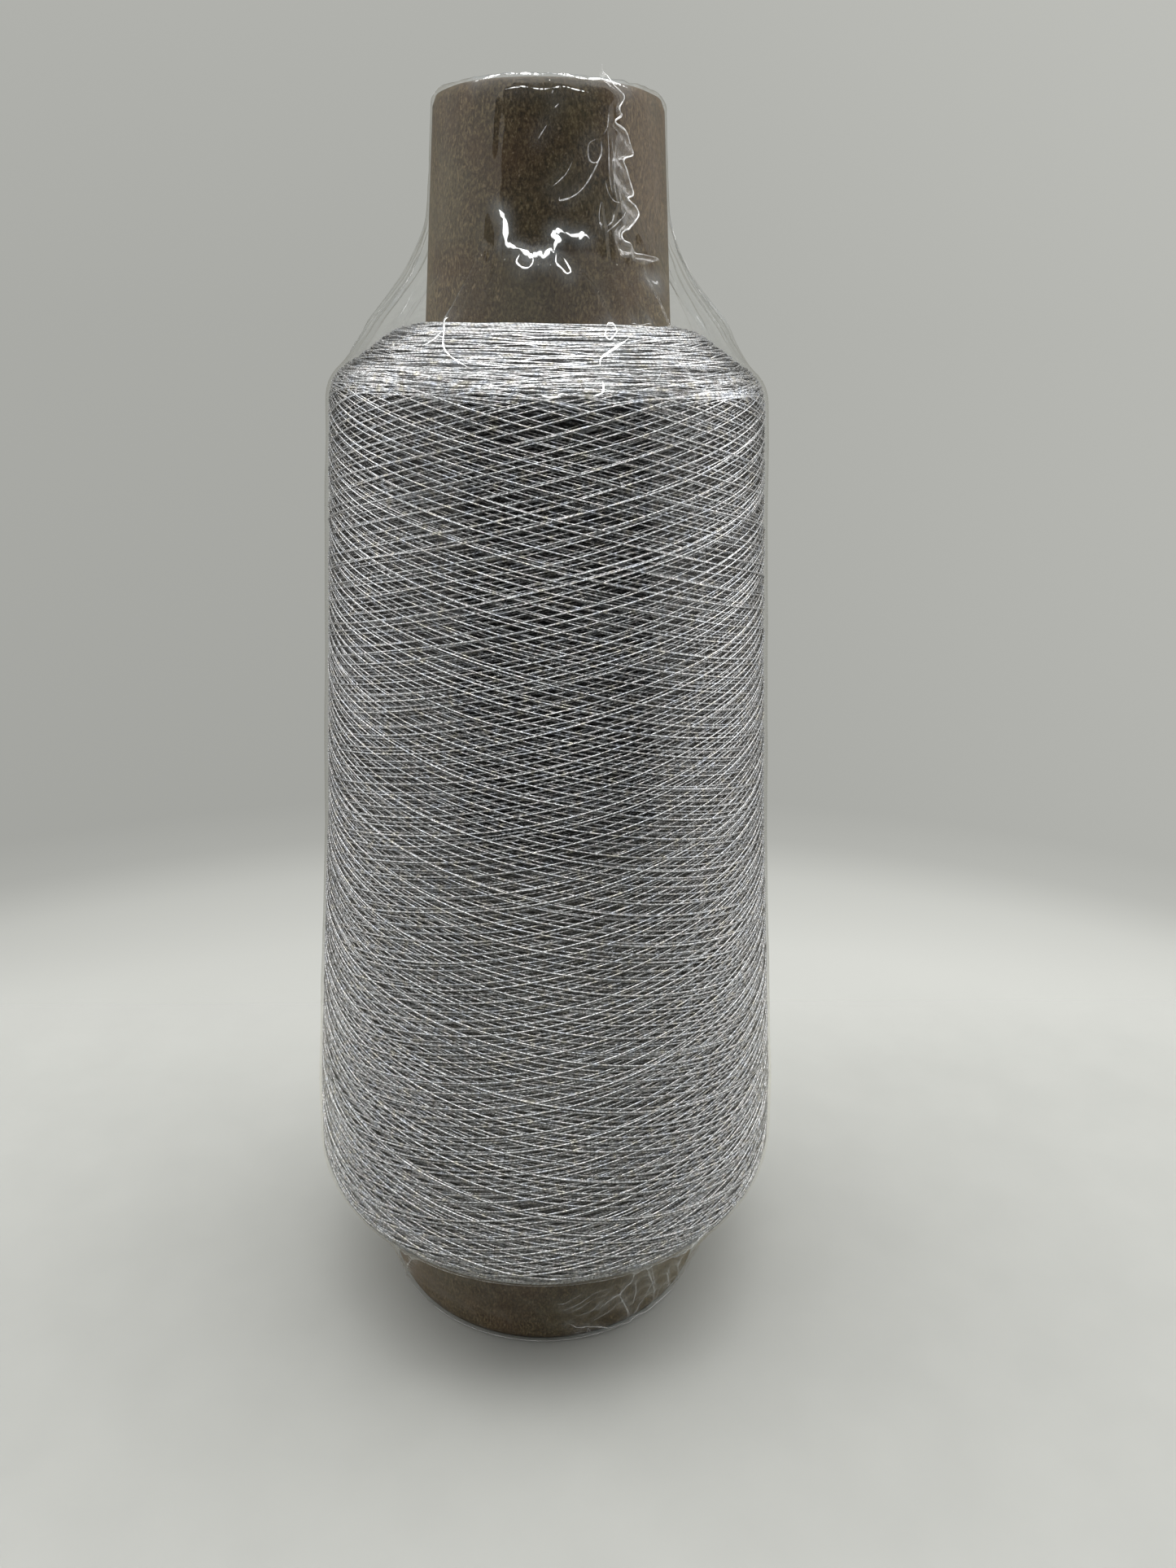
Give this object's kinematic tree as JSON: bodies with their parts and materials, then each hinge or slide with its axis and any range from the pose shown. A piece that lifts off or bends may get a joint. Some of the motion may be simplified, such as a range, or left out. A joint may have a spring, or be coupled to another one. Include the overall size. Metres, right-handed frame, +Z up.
{
  "type": "yarn cone",
  "caption": "Tapered paperboard cone wound criss-cross with silver metallic yarn, shrink-wrapped in clear film with a ragged trim seal down one side.",
  "frame": {"origin": "on the floor at the centre of the base; the cone's axis passes through it", "axes": "+Z up along the cone's axis towards the nose, -Y towards the front, +X to the right seen from the front; the trim seal is 37 degrees right of the front"},
  "size_m": [0.0996, 0.0996, 0.2305],
  "materials": {
    "kraft_board": "rolled brown kraft board, matt with a fine fibre grain, nose edge burnished",
    "metallic_yarn": "silver metallised thread, bright and slightly iridescent",
    "clear_film": "clear polyolefin shrink film, glossy, creased where it leaves the cone",
    "film_seal": "welded film edge, milky and ragged"
  },
  "bodies": {
    "root": {"core_cone": "kraft_board", "yarn_winding": "metallic_yarn", "yarn_running_end": "metallic_yarn", "film_wrap": "clear_film", "film_trim_seal": "film_seal"}
  },
  "joints": []
}
